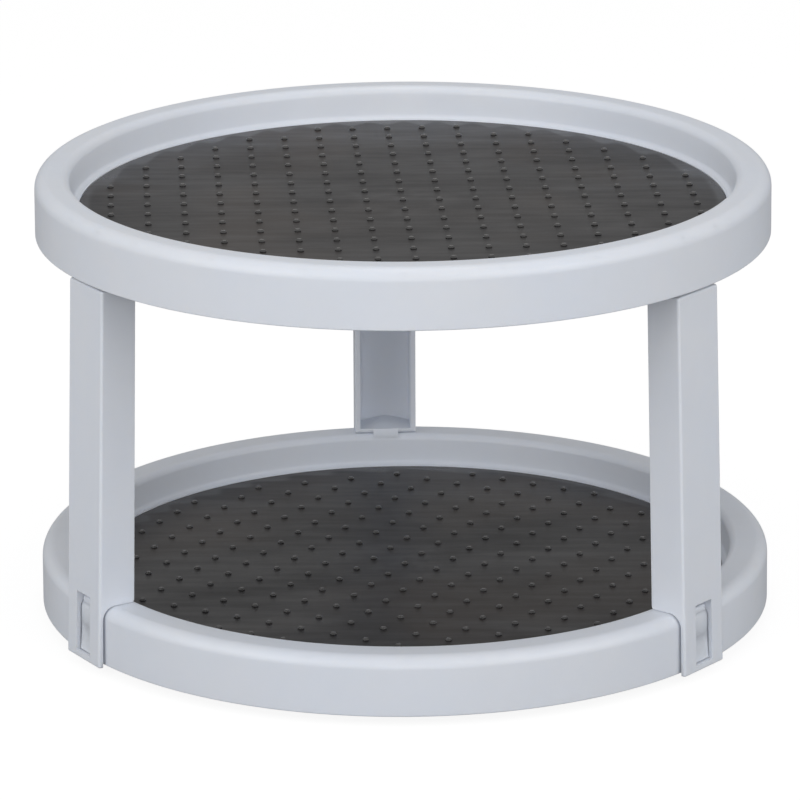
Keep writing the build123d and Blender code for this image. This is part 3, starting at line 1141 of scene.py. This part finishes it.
@dataclass
class Post:
    """A channel-shaped post with every moulded edge softened.

    Attributes:
        node: CAD node that the post stands for.
        edge_round: Rounding of its sharp edges, in millimetres.
        flat_limit: Turn between faces that still counts as flat, in degrees.
        sharp_limit: Turn between faces that counts as an edge, in degrees.
    """

    node: str
    edge_round: float = 0.25
    flat_limit: float = 0.5
    sharp_limit: float = 35.0

    def build(self, finishes: Finishes) -> bpy.types.Object:
        """Builds the post in place of its CAD node.

        Args:
            finishes: The turntable's finishes.

        Returns:
            The post.
        """
        bm = bmesh.new()
        bm.from_mesh(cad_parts[self.node].data)
        bmesh.ops.remove_doubles(bm, verts=bm.verts, dist=WELD)
        bmesh.ops.dissolve_limit(
            bm, angle_limit=math.radians(self.flat_limit), verts=bm.verts, edges=bm.edges,
        )
        limit = math.radians(self.sharp_limit)
        sharp = [edge for edge in bm.edges if edge.is_manifold and edge.calc_face_angle() > limit]
        bmesh.ops.bevel(
            bm, geom=sharp, offset=self.edge_round * MM, offset_type="OFFSET", affect="EDGES",
            segments=2, profile=0.5, material=-1, clamp_overlap=True,
        )
        return finish_piece(f"{self.node}_moulding", bm, 0.0, [finishes.white], self.node)


# --- base and bearing ---------------------------------------------------------------


@dataclass
class Bearing:
    """The base, its feet, the ball race and the pivot, which keep their CAD shapes."""

    def nodes(self, finishes: Finishes) -> dict[str, bpy.types.Material]:
        """Gives each CAD node its finish.

        Args:
            finishes: The turntable's finishes.

        Returns:
            Node names to materials.
        """
        by_start = {
            "base_plate": finishes.base, "foot_": finishes.foot, "ball_cage": finishes.cage,
            "ball_": finishes.ball, "pivot_": finishes.zinc,
        }
        return {
            name: next(finish for start, finish in by_start.items() if name.startswith(start))
            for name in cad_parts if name.startswith(tuple(by_start))
        }

    def build(self, finishes: Finishes) -> None:
        """Dresses the nodes and reports each one."""
        for name, material in self.nodes(finishes).items():
            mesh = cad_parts[name].data
            mesh.materials.clear()
            mesh.materials.append(material)
            LOG.info("%s: CAD shape in %s", name, material.name)


# --- studio ---------------------------------------------------------------------


@dataclass
class Camera:
    """A long lens in front of the object, a little above it.

    Attributes:
        distance: From the aim point to the lens.
        elevation: Angle above the horizontal, in degrees.
        roll: Small lean of the camera, in degrees.
        focal: Lens length in millimetres.
        sensor: Width of the sensor in millimetres.
        aim: Point the lens looks at.
    """

    distance: float = 2.2237
    elevation: float = 17.425
    roll: float = 0.334
    focal: float = 239.65
    sensor: float = 36.0
    aim: tuple[float, float, float] = (-0.0017, 0.0, 0.0875)

    def build(self) -> None:
        """Creates the camera and makes it the scene's own."""
        tilt = math.radians(self.elevation)
        away = Vector((0.0, -math.cos(tilt), math.sin(tilt)))
        data = bpy.data.cameras.new("camera")
        data.lens = self.focal
        data.sensor_width = self.sensor
        camera = bpy.data.objects.new("camera", data)
        bpy.context.scene.collection.objects.link(camera)
        upright = Matrix.Rotation(math.radians(90) - tilt, 4, "X")
        lean = Matrix.Rotation(math.radians(-self.roll), 4, "Z")
        place = Matrix.Translation(Vector(self.aim) + away * self.distance)
        camera.matrix_world = place @ upright @ lean
        bpy.context.scene.camera = camera


@dataclass(frozen=True)
class Softbox:
    """A square area light.

    Attributes:
        name: The light's name.
        place: Where it hangs, in metres.
        size: Length of its side, in metres.
        watts: Its power.
        target: Point that it faces, in the middle of the object.
    """

    name: str
    place: tuple[float, float, float]
    size: float
    watts: float
    target: tuple[float, float, float] = (0.0, 0.0, 0.09)

    def build(self) -> None:
        """Hangs the light."""
        data = bpy.data.lights.new(self.name, "AREA")
        data.size = self.size
        data.energy = self.watts
        light = bpy.data.objects.new(self.name, data)
        light.location = self.place
        away = Vector(self.place) - Vector(self.target)
        light.rotation_euler = away.to_track_quat("Z", "Y").to_euler()
        bpy.context.scene.collection.objects.link(light)


@dataclass
class Studio:
    """A white tent over a table that the lens sees as almost pure white.

    Attributes:
        tent_light: Strength of the tent's light on the object.
        backdrop: Strength of the tent as the lens sees it.
        table_white: How white the table is where it lights the object.
        seen_white: How white the table's shaded face is as the lens sees it.
        seen_glow: Light that the lens sees coming up through the table.
        table_half: Half the table's width, in metres.
    """

    tent_light: float = 0.44
    backdrop: float = 1.0
    table_white: float = 0.32
    seen_white: float = 0.16
    seen_glow: float = 0.90
    table_half: float = 8.0
    softboxes: tuple[Softbox, ...] = (
        Softbox("left", (-1.45, -1.25, 0.95), 1.6, 18.0),
        Softbox("right", (1.45, -1.25, 0.95), 1.6, 16.5),
        Softbox("front", (0.0, -2.2, 0.42), 0.8, 5.5),
        Softbox("top", (0.05, 0.10, 1.55), 0.34, 2.2),
    )

    def build(self) -> None:
        """Sets up the camera, the tent, the table and the lights."""
        Camera().build()
        bpy.context.scene.view_settings.view_transform = "Standard"
        self.build_tent()
        self.build_table()
        for softbox in self.softboxes:
            softbox.build()

    def build_tent(self) -> None:
        """Makes the world a plain white tent."""
        world = bpy.data.worlds.new("tent")
        bpy.context.scene.world = world
        world.use_nodes = True
        graph = Graph(world.node_tree)
        seen = graph.node("LightPath").outputs["Is Camera Ray"]
        strength = graph.math("MULTIPLY_ADD", seen, self.backdrop - self.tent_light, self.tent_light)
        background = world.node_tree.nodes["Background"]
        background.inputs["Color"].default_value = (1.0, 1.0, 1.0, 1.0)
        graph.feed(background.inputs["Strength"], strength)

    def build_table(self) -> None:
        """Lays the white table under the feet."""
        bm = bmesh.new()
        bmesh.ops.create_grid(bm, x_segments=1, y_segments=1, size=self.table_half)
        mesh = bpy.data.meshes.new("table")
        bm.to_mesh(mesh)
        bm.free()
        material, graph, shader = start_material("table_white")
        seen = graph.node("LightPath").outputs["Is Camera Ray"]
        white = graph.math("MULTIPLY_ADD", seen, self.seen_white - self.table_white, self.table_white)
        tone = graph.node("CombineColor", {0: white, 1: white, 2: white}).outputs[0]
        graph.feed(shader.inputs["Base Color"], tone)
        graph.feed(shader.inputs["Emission Strength"], graph.math("MULTIPLY", seen, self.seen_glow))
        shader.inputs["Emission Color"].default_value = (1.0, 1.0, 1.0, 1.0)
        shader.inputs["Roughness"].default_value = 0.9
        shader.inputs["Specular IOR Level"].default_value = 0.0
        mesh.materials.append(material)
        table = bpy.data.objects.new("table", mesh)
        bpy.context.scene.collection.objects.link(table)


def main() -> None:
    """Builds the studio and the turntable."""
    Studio().build()
    finishes = Finishes()
    posts = [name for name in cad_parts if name.startswith("post_")]
    azimuths = [node_azimuth(name) for name in posts]
    for tier in Tier:
        Tray(tier, azimuths).build(finishes)
    Mat(Tier.UPPER, turn=3.2, pitch=15.05, row_pitch=14.75).build(finishes)
    Mat(Tier.LOWER, turn=61.8, pitch=15.0, row_pitch=15.0).build(finishes)
    for name in posts:
        Post(name).build(finishes)
    Bearing().build(finishes)


if __name__ == "__main__":
    logging.basicConfig(level=logging.INFO, format="%(name)s: %(message)s")
    main()
